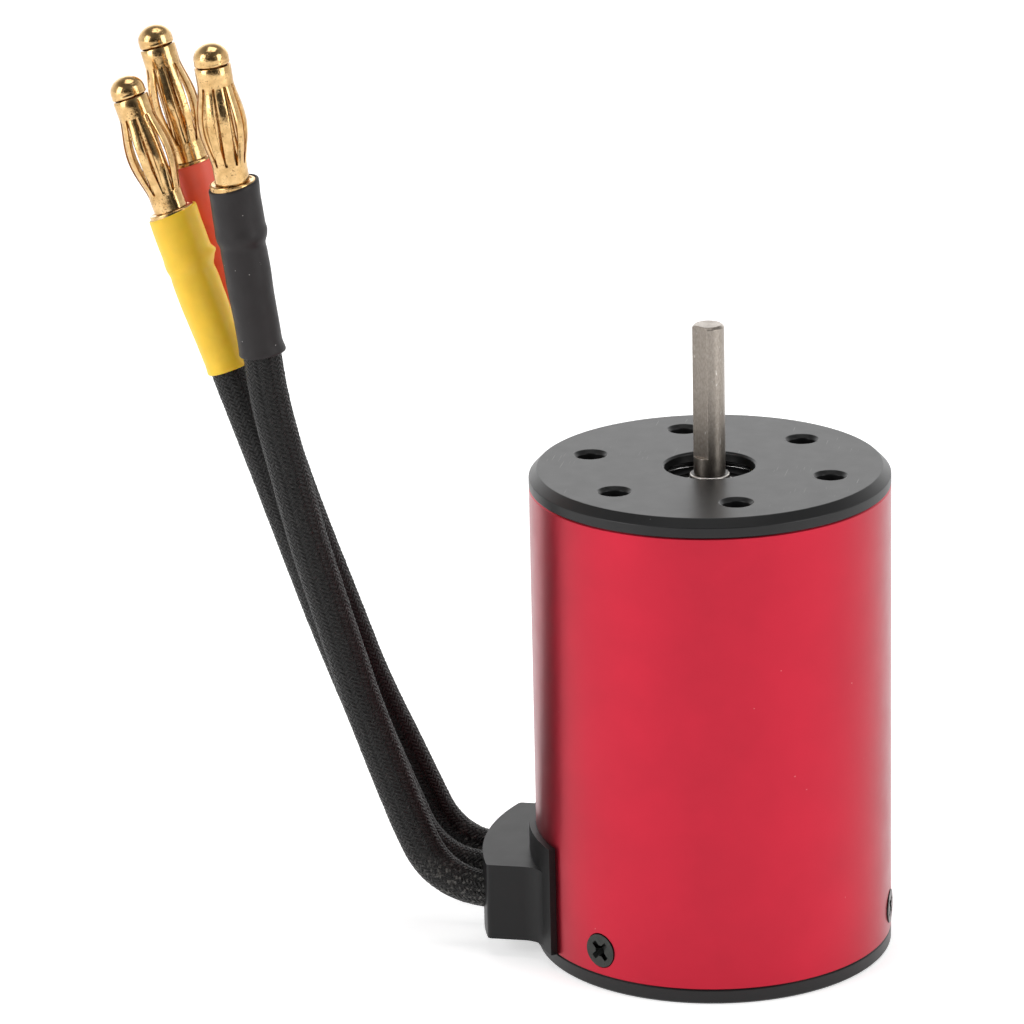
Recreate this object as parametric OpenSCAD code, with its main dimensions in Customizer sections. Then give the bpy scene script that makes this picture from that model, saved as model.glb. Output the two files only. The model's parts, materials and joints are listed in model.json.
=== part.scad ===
// Brushless inrunner motor: closed can, screwed rear cap, moulded side cable boot and three
// braided leads that end in bullet connectors.
// Frame: the origin is the centre of the front mounting face, +Z runs out along the shaft,
// and the cable boot points along -X. Millimetres.

/* [Housing] */
// Outside diameter of the can
can_d = 36; // [35.5:0.5:36.5]
// Wall thickness of the can
can_wall = 1.5; // [1.3:0.1:1.6]
// Length from the front face to the rear face
body_len = 50.3; // [50:0.1:51]
// Height of the front plate's visible edge
plate_edge = 1.85; // [1.6:0.05:2.2]
// Chamfer round the front plate's face
plate_chamfer = 0.8; // [0.5:0.1:1]
// Height of the rear cap's visible rim
rear_rim = 1.5; // [1.3:0.1:1.8]

/* [Front mounting holes] */
// Diameter of the circle that the mounting holes lie on
bolt_circle_d = 25; // [24:0.5:25]
// Number of mounting holes
bolt_count = 6; // [4:1:6]
// Mean diameter of the M3 mounting threads
bolt_hole_d = 2.7; // [2.4:0.1:3]
// Angle of the first mounting hole from +X
bolt_turn = -9; // [-29:1:29]
// Diameter of the central opening in the front face
nose_hole_d = 9; // [8.6:0.1:9.2]

/* [Shaft] */
// Shaft diameter
shaft_d = 3.175; // [3:0.025:3.2]
// Length of shaft in front of the front face
shaft_out = 14.5; // [12:0.5:18]
// Depth of the flat ground on the shaft
flat_depth = 0.35; // [0.2:0.05:0.35]
// Height above the front face at which the flat starts
flat_start = 1; // [0.5:0.5:3]
// Direction that the flat faces, from +X
flat_turn = -125; // [-180:5:180]

/* [Cable boot] */
// Radius of the boot's outer face
boot_r = 23.5; // [22.5:0.5:24]
// Width of the boot's block
boot_w = 17.6; // [17:0.2:18.4]
// Height of the boot's block
boot_h = 8; // [7.6:0.2:8]
// Thickness of the boot's flange
flange_t = 0.7; // [0.5:0.1:1]
// Height of the boot's flange
flange_h = 11.4; // [10.6:0.2:12]
// Half of the angle that the flange spans round the can
flange_half = 37.5; // [34:0.5:40]

/* [Leads] */
// Outside diameter of a braided lead
lead_d = 3.8; // [3.6:0.1:3.8]
// Distance between neighbouring leads at the boot
lead_pitch = 5.4; // [5.2:0.1:5.5]
// Outside diameter of heat-shrink over a lead
shrink_low_d = 4.5; // [4.4:0.1:4.6]
// Outside diameter of heat-shrink over a solder cup
shrink_top_d = 5.2; // [5.1:0.1:5.4]
// Widest diameter of a connector's spring basket
basket_d = 4.9; // [4.6:0.1:5]

/* [Hidden] */
$fn = 96;
eps = 0.01;

// Housing
can_r = can_d / 2;
can_in_r = can_r - can_wall;
can_top = -plate_edge;
can_bottom = rear_rim - body_len;
skirt_end = -8;
skirt_in_r = 15.2;
plate_back = -5;
nose_edge_break = 0.18;
nose_lip_t = 1;
nose_relief_r = 6.05;
bearing_face_z = -1.75;
countersink_r = 1.7;
joint_chamfer = 0.12;

// Bearings, 5 x 13 x 4 mm
bearing_r = 6.5;
bearing_w = 4;
journal_r = 2.5;
ball_r = 1;
ball_pitch_r = 4.5;
ball_count = 8;
race_gap = 0.02;
front_bearing_z = bearing_face_z - bearing_w / 2;
rear_bearing_z = -44.6 - bearing_w / 2;
hub_r = 7.8;
washer_t = 0.35;
rear_pocket_end = rear_bearing_z - bearing_w / 2 - washer_t;
rear_hole_r = 3;

// Rear cap and its screws
spigot_in_r = 14;
spigot_top = -43.8;
screw_z = -46.15;
screw_turns = [0, 120, 240];
screw_head_r = 1.72;
screw_r = 1;
screw_rim_h = 0.2;
screw_face_x = can_r + 0.08;
screw_tip_x = 13.4;
screw_cone_h = screw_head_r - screw_r;
screw_neck_x = screw_face_x - screw_rim_h - screw_cone_h;

// Boot
lead_z = -44.4;
boot_top = lead_z + boot_h / 2;
window_half = 8.2;
window_top = lead_z + 3.5;
boot_fillet = 2.8;
boot_corner = 0.5;
neck_in_x = -15.2;
lead_ys = [-lead_pitch, 0, lead_pitch];
lead_root_x = -22;
tail_bend_x = -14.2;
tail_r = 1.1;

// Stator
core_top = -12;
core_len = 25.5;
core_mid = core_top - core_len / 2;
stator_bore_r = 7.3;
slot_count = 12;
slot_step = 360 / slot_count;
slot_in_r = 8.7;
slot_out_r = 13.9;
insulator_t = 0.6;
liner_t = 0.2;
copper_in_r = 8.95;
copper_out_r = 13.5;
turn_low = core_len / 2 + insulator_t;
turn_step = turn_low + 1.4;
turn_end = turn_low + 2.9;

// Rotor
magnet_in_r = 4;
magnet_out_r = 6.45;
sleeve_t = 0.4;
pole_count = 4;
magnet_span = 86;
rotor_len = 24.5;
ring_r = 6.4;
ring_w = 1.8;
spacer_r = 3.3;

// Connector, measured up from the mouth of its solder cup
cup_r = 2.3;
cup_h = 5.6;
wire_core_r = 1.65;
wire_core_h = 4.5;
shrink_top = 5.2;
basket_low = 7.4;
basket_top = 15.6;
collar_top = 17.5;
pin_tip = 19.7;
pin_r = 1.3;
dome_r = 1.75;
low_collar_r = 1.7;
top_collar_r = 1.8;
blade_t = 0.3;
blade_count = 10;
blade_gap = 0.45;

// Lead routes, from inside the boot to the mouth of the solder cup. The last stretch is
// straight and lies inside the heat-shrink.
route_black = [
    [-22, -5.4, -44.4], [-22.9, -5.4, -44.4], [-23.9, -5.4, -44.23], [-25.4, -5.4, -43.74],
    [-26.8, -5.4, -42.93], [-27.95, -5.4, -41.88], [-28.8, -5.35, -40.7], [-29.3, -5.35, -39.7],
    [-30.3, -5.3, -37.4], [-31.9, -5.2, -33.3], [-33.5, -5.15, -28.9], [-35, -5.05, -24.7],
    [-36.3, -5, -20.5], [-37.6, -4.9, -16.3], [-38.9, -4.8, -12], [-40.1, -4.75, -7.9],
    [-41.1, -4.7, -3.8], [-42.1, -4.6, 0.3], [-43.1, -4.5, 4.4], [-43.8, -4.5, 8.3],
    [-44.17, -4.5, 11.5], [-45.56, -5.25, 23.55]
];
route_yellow = [
    [-22, 0, -44.4], [-23.5, 0, -44.4], [-24.6, 0, -44.36], [-25.7, 0, -44.2], [-27.1, 0, -43.73],
    [-28.5, 0, -42.93], [-29.65, 0, -41.88], [-30.5, 0, -40.7], [-31.05, 0, -39.6],
    [-33, 0, -34.9], [-34.9, 0, -30.2], [-36.7, 0, -25.5], [-38.3, 0, -21.3], [-39.6, 0, -17.8],
    [-41, 0, -13.8], [-42.45, 0, -9.6], [-43.9, 0, -5.4], [-45.3, -0.1, -1.2], [-47.1, -0.2, 3.9],
    [-48.75, -0.2, 8.5], [-52.37, 0.1, 19.25]
];
route_red = [
    [-22, 5.4, -44.4], [-23.1, 5.4, -44.4], [-24.8, 5.4, -44.23], [-26.3, 5.4, -43.73],
    [-27.7, 5.4, -42.93], [-28.85, 5.4, -41.88], [-29.7, 5.35, -40.7], [-30.2, 5.35, -39.7],
    [-31.4, 5.3, -37], [-33.3, 5.2, -32.7], [-35.25, 5.1, -28.4], [-37, 5, -24.05],
    [-38.55, 5, -19.7], [-40.1, 5, -15.4], [-41.65, 5, -11.1], [-43.1, 5, -6.9], [-44.8, 5, -1.6],
    [-46.4, 5.1, 3.4], [-47.7, 5.1, 7.6], [-48.73, 5.2, 11.5], [-51.83, 5.5, 22.95]
];

// Lead geometry
lead_sides = 8;
function unit(v) = v / norm(v);
function heading(route, i) =
    unit(route[min(i + 1, len(route) - 1)] - route[max(i - 1, 0)]);
function ring(route, i, r) =
    let (t = heading(route, i), u = unit(cross(t, [0, 1, 0])), v = cross(t, u))
    [for (k = [0:lead_sides - 1])
        let (a = 360 * k / lead_sides) route[i] + r * (cos(a) * u + sin(a) * v)];

// A closed tube swept along a route
module lead_tube(route, r) {
    rings = len(route);
    points = [for (i = [0:rings - 1]) each ring(route, i, r)];
    walls = [for (i = [0:rings - 2], k = [0:lead_sides - 1])
        let (a = i * lead_sides, n = (k + 1) % lead_sides)
        each [[a + k, a + n, a + lead_sides + n], [a + k, a + lead_sides + n, a + lead_sides + k]]];
    start = [[for (k = [lead_sides - 1:-1:0]) k]];
    end = [[for (k = [0:lead_sides - 1]) (rings - 1) * lead_sides + k]];
    polyhedron(points, concat(walls, start, end));
}

// Places its children at a lead's end, with +Z along the lead's last stretch
module at_lead_end(route) {
    last = len(route) - 1;
    aim = unit(route[last] - route[last - 1]);
    translate(route[last])
        rotate([0, acos(aim.z), atan2(aim.y, aim.x)])
            children();
}

module at_screws() {
    for (a = screw_turns)
        rotate([0, 0, a]) translate([0, 0, screw_z]) rotate([0, 90, 0]) children();
}

// Housing shells
module can() {
    color("crimson")
        difference() {
            rotate_extrude()
                polygon([
                    [can_in_r, can_bottom], [can_r - joint_chamfer, can_bottom],
                    [can_r, can_bottom + joint_chamfer], [can_r, can_top - joint_chamfer],
                    [can_r - joint_chamfer, can_top], [can_in_r, can_top]
                ]);
            translate([-can_r - 1, -window_half, can_bottom - 1])
                cube([can_r - 12, 2 * window_half, window_top - can_bottom + 1]);
            at_screws() {
                cylinder(r = screw_r + 0.1, h = can_r + 1);
                translate([0, 0, screw_neck_x])
                    cylinder(r1 = screw_r, r2 = screw_head_r + 0.6, h = screw_cone_h + 0.6);
            }
        }
}

module front_plate() {
    color([0.2, 0.2, 0.21])
        difference() {
            rotate_extrude()
                polygon([
                    [nose_hole_d / 2 + nose_edge_break, 0],
                    [can_r - plate_chamfer, 0], [can_r, -plate_chamfer],
                    [can_r, can_top + joint_chamfer], [can_r - joint_chamfer, can_top],
                    [can_in_r, can_top], [can_in_r, skirt_end], [skirt_in_r, skirt_end],
                    [skirt_in_r, plate_back], [hub_r, plate_back],
                    [hub_r, plate_back - 1.4], [bearing_r, plate_back - 1.4],
                    [bearing_r, bearing_face_z], [nose_relief_r, bearing_face_z],
                    [nose_relief_r, -nose_lip_t], [nose_hole_d / 2, -nose_lip_t],
                    [nose_hole_d / 2, -nose_edge_break]
                ]);
            for (k = [0:bolt_count - 1])
                rotate([0, 0, bolt_turn + 360 * k / bolt_count])
                    translate([bolt_circle_d / 2, 0, 0]) {
                        translate([0, 0, plate_back - 1])
                            cylinder(r = bolt_hole_d / 2, h = 2 - plate_back);
                        translate([0, 0, bolt_hole_d / 2 - countersink_r])
                            cylinder(r1 = bolt_hole_d / 2, r2 = countersink_r + 0.5,
                                h = countersink_r - bolt_hole_d / 2 + 0.5);
                    }
        }
}

module rear_cap() {
    color([0.17, 0.17, 0.18])
        difference() {
            rotate_extrude()
                polygon([
                    [rear_hole_r, -body_len], [can_r - 0.2, -body_len],
                    [can_r, -body_len + 0.2], [can_r, can_bottom - joint_chamfer],
                    [can_r - joint_chamfer, can_bottom], [can_in_r, can_bottom],
                    [can_in_r, spigot_top],
                    [spigot_in_r, spigot_top], [spigot_in_r, can_bottom],
                    [hub_r, can_bottom], [hub_r, spigot_top],
                    [bearing_r, spigot_top], [bearing_r, rear_pocket_end],
                    [rear_hole_r, rear_pocket_end]
                ]);
            translate([-can_r - 1, -window_half - 0.4, can_bottom])
                cube([can_r - 10, 2 * window_half + 0.8, 8]);
            at_screws() cylinder(r = screw_r, h = can_r + 1);
        }
}

module rear_cap_screws() {
    color([0.12, 0.12, 0.13])
        at_screws()
            difference() {
                union() {
                    translate([0, 0, screw_tip_x])
                        cylinder(r = screw_r, h = screw_neck_x - screw_tip_x);
                    translate([0, 0, screw_neck_x])
                        cylinder(r1 = screw_r, r2 = screw_head_r, h = screw_cone_h);
                    translate([0, 0, screw_face_x - screw_rim_h])
                        cylinder(r = screw_head_r, h = screw_rim_h);
                }
                screw_recess();
            }
}

// Cross recess: two crossed wings that narrow with depth, round a wider middle
module screw_recess() {
    wing_r = 1.15;
    wing_w = 0.56;
    depth = 0.95;
    translate([0, 0, screw_face_x - depth]) {
        intersection() {
            cylinder(r1 = 0.4, r2 = wing_r, h = depth + eps);
            for (a = [0, 90])
                rotate([0, 0, a + 45])
                    translate([-wing_r, -wing_w / 2, -eps])
                        cube([2 * wing_r, wing_w, depth + 1]);
        }
        cylinder(r1 = 0.3, r2 = 0.58, h = depth + eps);
    }
}

// Hollow blend between the boot's side and its flange
module boot_side_blend(side) {
    centre_y = boot_w / 2 + boot_fillet;
    reach = can_r + flange_t + boot_fillet;
    centre_x = -sqrt(reach * reach - centre_y * centre_y);
    meets = (can_r + flange_t) / reach;
    difference() {
        translate([0, 0, lead_z - boot_h / 2])
            linear_extrude(boot_h)
                polygon([
                    [centre_x, side * boot_w / 2], [centre_x, side * centre_y],
                    [centre_x * meets, side * centre_y * meets], [-15.5, side * 8]
                ]);
        translate([centre_x, side * centre_y, can_bottom - 1])
            cylinder(r = boot_fillet, h = 20);
    }
}

// Takes the sharp corner off the boot's outer face
module boot_corner_cut(side) {
    centre_y = boot_w / 2 - boot_corner;
    reach = boot_r - boot_corner;
    centre_x = -sqrt(reach * reach - centre_y * centre_y);
    grow = 1.1;
    difference() {
        translate([0, 0, can_bottom - 1])
            linear_extrude(20)
                polygon([
                    [centre_x, side * centre_y], [centre_x, side * (boot_w / 2 + 1)],
                    [centre_x * grow, side * (boot_w / 2 + 1)],
                    [centre_x * grow, side * centre_y * grow]
                ]);
        translate([centre_x, side * centre_y, can_bottom - 2])
            cylinder(r = boot_corner, h = 22);
    }
}

module cable_boot() {
    color([0.2, 0.2, 0.2])
        difference() {
            union() {
                rotate([0, 0, 180 - flange_half])
                    rotate_extrude(angle = 2 * flange_half)
                        translate([can_r, can_bottom])
                            square([flange_t, flange_h]);
                difference() {
                    union() {
                        intersection() {
                            translate([0, 0, lead_z - boot_h / 2])
                                cylinder(r = boot_r, h = boot_h);
                            translate([-boot_r - 1, -boot_w / 2, lead_z - boot_h / 2])
                                cube([boot_r - 6, boot_w, boot_h]);
                        }
                        for (side = [-1, 1]) boot_side_blend(side);
                    }
                    for (side = [-1, 1]) boot_corner_cut(side);
                    translate([0, 0, can_bottom - 1])
                        cylinder(r = can_r, h = 20);
                }
                intersection() {
                    translate([0, 0, can_bottom - 1])
                        cylinder(r = can_r + flange_t / 2, h = 20);
                    translate([-can_r - 1, -window_half, can_bottom + eps])
                        cube([can_r + 1 + neck_in_x, 2 * window_half, window_top - can_bottom - eps]);
                }
            }
            for (y = lead_ys)
                translate([-boot_r - 1, y, lead_z])
                    rotate([0, 90, 0])
                        cylinder(d = lead_d, h = boot_r);
        }
}

// Stator
module lamination(outer_r) {
    difference() {
        circle(r = outer_r);
        circle(r = stator_bore_r);
        for (k = [0:slot_count - 1])
            rotate(slot_step * (k + 0.5)) {
                translate([stator_bore_r - 1, -0.6]) square([slot_in_r - stator_bore_r + 1.1, 1.2]);
                slot_outline(slot_in_r, slot_out_r, 0);
            }
    }
}

// Straight-sided slot between two radii; inset draws its sides in
module slot_outline(in_r, out_r, inset) {
    function half(r) = r * tan(slot_step / 2) - 1.08 - inset;
    polygon([[in_r, -half(in_r)], [out_r, -half(out_r)], [out_r, half(out_r)], [in_r, half(in_r)]]);
}

module stator_core() {
    color([0.45, 0.46, 0.48])
        translate([0, 0, core_top - core_len])
            linear_extrude(core_len) lamination(can_in_r);
}

module stator_insulator(z) {
    color([0.85, 0.83, 0.75])
        translate([0, 0, z]) linear_extrude(insulator_t) lamination(can_in_r - 0.2);
}

module stator_insulator_front() { stator_insulator(core_top); }

module stator_insulator_rear() { stator_insulator(core_top - core_len - insulator_t); }

module slot_liners() {
    color([0.9, 0.87, 0.7])
        for (k = [0:slot_count - 1])
            rotate([0, 0, slot_step * (k + 0.5)])
                translate([0, 0, core_top - core_len])
                    linear_extrude(core_len)
                        difference() {
                            slot_outline(slot_in_r, slot_out_r, 0);
                            slot_outline(slot_in_r - 0.1, slot_out_r - liner_t, liner_t);
                        }
}

// One phase: two coils of full pitch, each with two slot sides and an end turn at both ends.
// turn_r gives the band that its end turns lie in.
module winding(first_slot, turn_r) {
    color([0.78, 0.42, 0.2])
        translate([0, 0, core_mid])
            for (coil = [0, 180]) rotate([0, 0, coil + slot_step * (first_slot + 0.5)]) {
                for (side = [0, 90]) rotate([0, 0, side]) {
                    translate([0, 0, -turn_step + 0.1])
                        linear_extrude(2 * turn_step - 0.2)
                            slot_outline(copper_in_r, copper_out_r, 0.3);
                }
                for (end = [0, 1]) mirror([0, 0, end]) end_turn(turn_r);
            }
}

module end_turn(turn_r) {
    outside = turn_r[0] > copper_out_r;
    low = outside ? turn_low + eps : turn_step;
    rotate_extrude(angle = 90)
        translate([turn_r[0], low]) square([turn_r[1] - turn_r[0], turn_end - low]);
    for (side = [0, 90]) rotate([0, 0, side]) {
        if (outside)
            translate([copper_out_r - 1, -1.1, turn_low + eps])
                cube([turn_r[0] + 1.5 - copper_out_r, 2.2, 1.1]);
        else
            translate([turn_r[0], -0.8, turn_step - 0.3])
                cube([turn_r[1] - turn_r[0], 1.6, turn_end - turn_step + 0.3]);
    }
}

// Tab that carries a phase out to its lead
module lead_out_tab(angle, from_r, to_r) {
    color([0.78, 0.42, 0.2])
        rotate([0, 0, angle])
            translate([from_r, -1, core_mid - turn_end])
                cube([to_r - from_r, 2, 1.2]);
}

module winding_phase_a() { winding(0, [14, 16]); }

module winding_phase_b() {
    winding(2, [11.4, 13.5]);
    lead_out_tab(159, 13, 16);
}

module winding_phase_c() {
    winding(4, [8.95, 11]);
    lead_out_tab(180, 10.5, 15.4);
}

module lead_tails() {
    color("dimgray")
        for (y = lead_ys) translate([0, y, lead_z]) {
            translate([lead_root_x, 0, 0]) rotate([0, 90, 0])
                cylinder(d = lead_d, h = neck_in_x + 0.3 - lead_root_x);
            translate([neck_in_x, 0, 0]) rotate([0, 90, 0])
                cylinder(r = tail_r, h = tail_bend_x - neck_in_x);
            translate([tail_bend_x, 0, 0]) sphere(r = tail_r);
            translate([tail_bend_x, 0, 0])
                cylinder(r = tail_r, h = core_mid - turn_end - lead_z);
        }
}

// Bearings
race_r = ball_r + race_gap;
shoulder_out = 5.3;
shoulder_in = 3.65;
shield_seat = 5.6;
shield_t = 0.22;
seat_depth = 0.3;

module bearing_outer_ring(z) {
    color("lightgray")
        translate([0, 0, z])
            rotate_extrude()
                difference() {
                    translate([shoulder_out, -bearing_w / 2])
                        square([bearing_r - shoulder_out, bearing_w]);
                    translate([ball_pitch_r, 0]) circle(r = race_r);
                    for (s = [-1, 1])
                        translate([shoulder_out - 0.5, s * (bearing_w - seat_depth) / 2 - seat_depth / 2])
                            square([shield_seat - shoulder_out + 0.5, seat_depth + eps * (s + 1) / 2]);
                }
}

module bearing_inner_ring(z) {
    color("lightgray")
        translate([0, 0, z])
            rotate_extrude()
                difference() {
                    translate([journal_r, -bearing_w / 2])
                        square([shoulder_in - journal_r, bearing_w]);
                    translate([ball_pitch_r, 0]) circle(r = race_r);
                }
}

module bearing_shields(z) {
    color("silver")
        for (s = [-1, 1])
            translate([0, 0, z + s * (bearing_w / 2 - seat_depth + shield_t / 2)])
                difference() {
                    cylinder(r = shield_seat, h = shield_t, center = true);
                    cylinder(r = shoulder_in + 0.12, h = 1, center = true);
                }
}

module at_balls(z) {
    for (k = [0:ball_count - 1])
        rotate([0, 0, 360 * k / ball_count]) translate([ball_pitch_r, 0, z]) children();
}

module bearing_balls(z) {
    color("white") at_balls(z) sphere(r = ball_r);
}

module bearing_cage(z) {
    color("goldenrod")
        difference() {
            translate([0, 0, z - 1.3]) cylinder(r = 4.8, h = 2.6);
            translate([0, 0, z - 2]) cylinder(r = 4.2, h = 4);
            at_balls(z) sphere(r = ball_r + 0.04);
        }
}

module front_bearing_outer_ring() { bearing_outer_ring(front_bearing_z); }
module front_bearing_shields() { bearing_shields(front_bearing_z); }
module front_bearing_balls() { bearing_balls(front_bearing_z); }
module front_bearing_cage() { bearing_cage(front_bearing_z); }
module front_bearing_inner_ring() { bearing_inner_ring(front_bearing_z); }
module rear_bearing_outer_ring() { bearing_outer_ring(rear_bearing_z); }
module rear_bearing_shields() { bearing_shields(rear_bearing_z); }
module rear_bearing_balls() { bearing_balls(rear_bearing_z); }
module rear_bearing_cage() { bearing_cage(rear_bearing_z); }
module rear_bearing_inner_ring() { bearing_inner_ring(rear_bearing_z); }

module preload_washer() {
    color("silver")
        translate([0, 0, rear_pocket_end])
            difference() {
                cylinder(r = bearing_r - 0.05, h = washer_t);
                translate([0, 0, -1]) cylinder(r = 5.5, h = 3);
            }
}

// Rotor. The shaft steps down from its bearing journals to its output end, which is waisted
// by a hair between the step and the flat.
module shaft() {
    out_r = shaft_d / 2;
    tip_chamfer = 0.25;
    step_chamfer = 0.15;
    tail_z = -49.9;
    step_z = bearing_face_z + 0.1;
    shoulder_r = 2;
    shoulder_z = -0.8;
    shoulder_chamfer = 0.1;
    waist = 0.02;
    color("gainsboro")
        difference() {
            rotate_extrude()
                polygon([
                    [0, tail_z], [journal_r - tip_chamfer, tail_z],
                    [journal_r, tail_z + tip_chamfer], [journal_r, step_z - step_chamfer],
                    [journal_r - step_chamfer, step_z], [shoulder_r, step_z],
                    [shoulder_r, shoulder_z - shoulder_chamfer],
                    [shoulder_r - shoulder_chamfer, shoulder_z], [out_r, shoulder_z],
                    [out_r - waist, (shoulder_z + flat_start) / 2], [out_r, flat_start],
                    [out_r, shaft_out - tip_chamfer], [out_r - tip_chamfer, shaft_out],
                    [0, shaft_out]
                ]);
            rotate([0, 0, flat_turn])
                translate([out_r - flat_depth, -shaft_d, flat_start])
                    cube([shaft_d, 2 * shaft_d, shaft_out]);
        }
}

// A plain ring on the shaft or its core, from a lower to an upper height
module collar(in_r, out_r, low, high) {
    translate([0, 0, low])
        difference() {
            cylinder(r = out_r, h = high - low);
            translate([0, 0, -1]) cylinder(r = in_r, h = high - low + 2);
        }
}

rotor_low = core_mid - rotor_len / 2;
rotor_high = core_mid + rotor_len / 2;

module rotor_core() {
    color("darkgray") collar(journal_r, magnet_in_r, rotor_low, rotor_high);
}

module rotor_magnets() {
    color([0.55, 0.55, 0.57])
        for (k = [0:pole_count - 1])
            rotate([0, 0, 360 * k / pole_count])
                translate([0, 0, rotor_low])
                    rotate_extrude(angle = magnet_span)
                        translate([magnet_in_r, 0])
                            square([magnet_out_r - magnet_in_r, rotor_len]);
}

module rotor_sleeve() {
    color([0.15, 0.15, 0.15])
        collar(magnet_out_r, magnet_out_r + sleeve_t, rotor_low, rotor_high);
}

// Balance ring with shallow balancing drillings in its outer face
module balance_ring(low, face, drillings) {
    color("gold")
        difference() {
            collar(journal_r, ring_r, low, low + ring_w);
            for (a = drillings)
                rotate([0, 0, a]) translate([ring_r - 1.3, 0, face]) sphere(r = 0.7);
        }
}

module balance_ring_front() { balance_ring(rotor_high, rotor_high + ring_w, [40, 65]); }
module balance_ring_rear() { balance_ring(rotor_low - ring_w, rotor_low - ring_w, [210]); }

module spacer_front() {
    color("silver")
        collar(journal_r, spacer_r, rotor_high + ring_w, front_bearing_z - bearing_w / 2);
}

module spacer_rear() {
    color("silver")
        collar(journal_r, spacer_r, rear_bearing_z + bearing_w / 2, rotor_low - ring_w);
}

// Leads, heat-shrink and connectors
module lead(route) { color([0.12, 0.12, 0.12]) lead_tube(route, lead_d / 2 - 0.02); }

module lead_black() { lead(route_black); }
module lead_yellow() { lead(route_yellow); }
module lead_red() { lead(route_red); }

module lead_cores() {
    color("peru")
        for (route = [route_black, route_yellow, route_red])
            at_lead_end(route) cylinder(r = wire_core_r, h = wire_core_h);
}

module shrink(route) {
    last = len(route) - 1;
    low = -norm(route[last] - route[last - 1]);
    wall = (shrink_top_d - 2 * cup_r) / 2;
    at_lead_end(route)
        rotate_extrude()
            polygon([
                [shrink_low_d / 2 - wall + 0.05, low], [shrink_low_d / 2, low],
                [shrink_low_d / 2, -1], [shrink_top_d / 2, -wall],
                [shrink_top_d / 2, shrink_top], [cup_r, shrink_top],
                [cup_r, 0], [shrink_low_d / 2 - wall + 0.05, 0]
            ]);
}

module shrink_black() { color([0.16, 0.15, 0.15]) shrink(route_black); }
module shrink_yellow() { color("gold") shrink(route_yellow); }
module shrink_red() { color("firebrick") shrink(route_red); }

module bullet_pin(route) {
    dome_low = collar_top + 0.25;
    belly = dome_low + 0.6;
    color("goldenrod")
        at_lead_end(route)
            rotate_extrude()
                polygon(concat(
                    [
                        [0, wire_core_h], [wire_core_r, wire_core_h], [wire_core_r, 0],
                        [cup_r, 0], [cup_r, cup_h], [pin_r, cup_h],
                        [pin_r, dome_low], [dome_r - 0.2, dome_low], [dome_r, dome_low + 0.25]
                    ],
                    [for (a = [0:15:90]) [dome_r * cos(a), belly + (pin_tip - belly) * sin(a)]]
                ));
}

module bullet_pin_black() { bullet_pin(route_black); }
module bullet_pin_yellow() { bullet_pin(route_yellow); }
module bullet_pin_red() { bullet_pin(route_red); }

// Radius of the spring basket's outside at a share t of its height
function basket_r(t) =
    low_collar_r + (top_collar_r - low_collar_r) * t
    + (basket_d / 2 - (low_collar_r + top_collar_r) / 2) * pow(sin(180 * t), 1.3);

module bullet_spring(route) {
    steps = 10;
    outline = [for (i = [0:steps])
        [basket_r(i / steps), basket_low + (basket_top - basket_low) * i / steps]];
    inside = [for (i = [steps:-1:0]) outline[i] - [blade_t, 0]];
    color("goldenrod")
        at_lead_end(route)
            difference() {
                rotate_extrude()
                    polygon(concat(
                        [[pin_r, cup_h], [low_collar_r, cup_h]], outline,
                        [[top_collar_r, collar_top], [pin_r, collar_top],
                            [pin_r, basket_top]],
                        inside, [[pin_r, basket_low]]
                    ));
                for (k = [0:blade_count / 2 - 1])
                    rotate([0, 0, 360 * k / blade_count])
                        translate([-basket_d, -blade_gap / 2, basket_low + 0.1])
                            cube([2 * basket_d, blade_gap, basket_top - basket_low - 0.2]);
            }
}

module bullet_spring_black() { bullet_spring(route_black); }
module bullet_spring_yellow() { bullet_spring(route_yellow); }
module bullet_spring_red() { bullet_spring(route_red); }

can();
front_plate();
rear_cap();
rear_cap_screws();
cable_boot();
stator_core();
stator_insulator_front();
stator_insulator_rear();
slot_liners();
winding_phase_a();
winding_phase_b();
winding_phase_c();
lead_tails();
front_bearing_outer_ring();
front_bearing_shields();
front_bearing_balls();
front_bearing_cage();
front_bearing_inner_ring();
rear_bearing_outer_ring();
rear_bearing_shields();
rear_bearing_balls();
rear_bearing_cage();
rear_bearing_inner_ring();
preload_washer();
shaft();
rotor_core();
rotor_magnets();
rotor_sleeve();
balance_ring_front();
balance_ring_rear();
spacer_front();
spacer_rear();
lead_black();
lead_yellow();
lead_red();
lead_cores();
shrink_black();
shrink_yellow();
shrink_red();
bullet_pin_black();
bullet_pin_yellow();
bullet_pin_red();
bullet_spring_black();
bullet_spring_yellow();
bullet_spring_red();
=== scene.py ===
"""Looks of the brushless inrunner motor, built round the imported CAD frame. Metres, row frame."""
import json
import math

import bmesh
import bpy
from mathutils import Matrix, Vector, noise

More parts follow.
